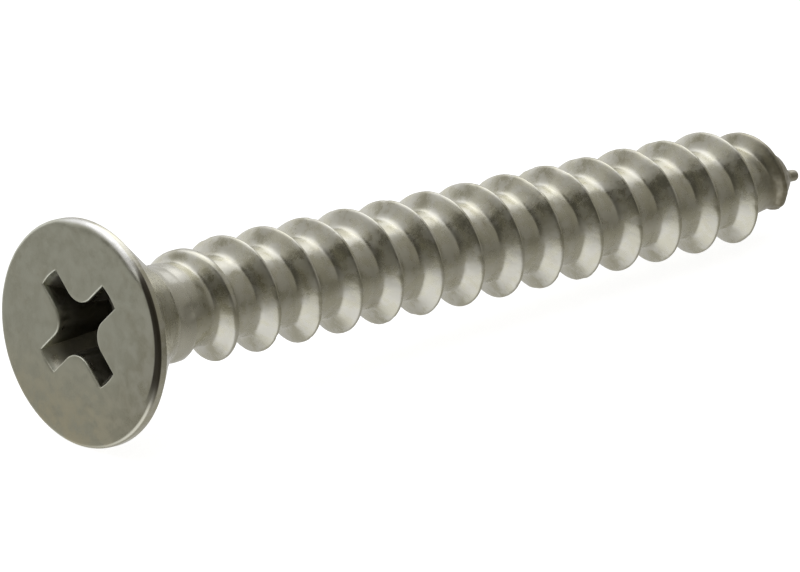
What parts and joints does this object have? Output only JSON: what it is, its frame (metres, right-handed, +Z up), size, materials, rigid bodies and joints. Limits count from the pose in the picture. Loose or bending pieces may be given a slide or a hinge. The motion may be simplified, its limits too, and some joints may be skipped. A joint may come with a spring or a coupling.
{
  "type": "sheet metal screw",
  "caption": "Countersunk tapping screw with a cross recess, a coarse full-length thread and a gimlet point, for fastening thin sheet metal.",
  "frame": {"origin": "centre of the bounding box's underside, on the surface that the screw lies on", "axes": "+X along the screw from head to point (the axis dips 3.7 degrees towards the point), +Z up, away from the surface"},
  "size_m": [0.0382, 0.0088, 0.0089],
  "materials": {
    "stainless_steel": "dull tumbled stainless steel"
  },
  "bodies": {
    "root": {"screw": "stainless_steel"}
  },
  "joints": []
}
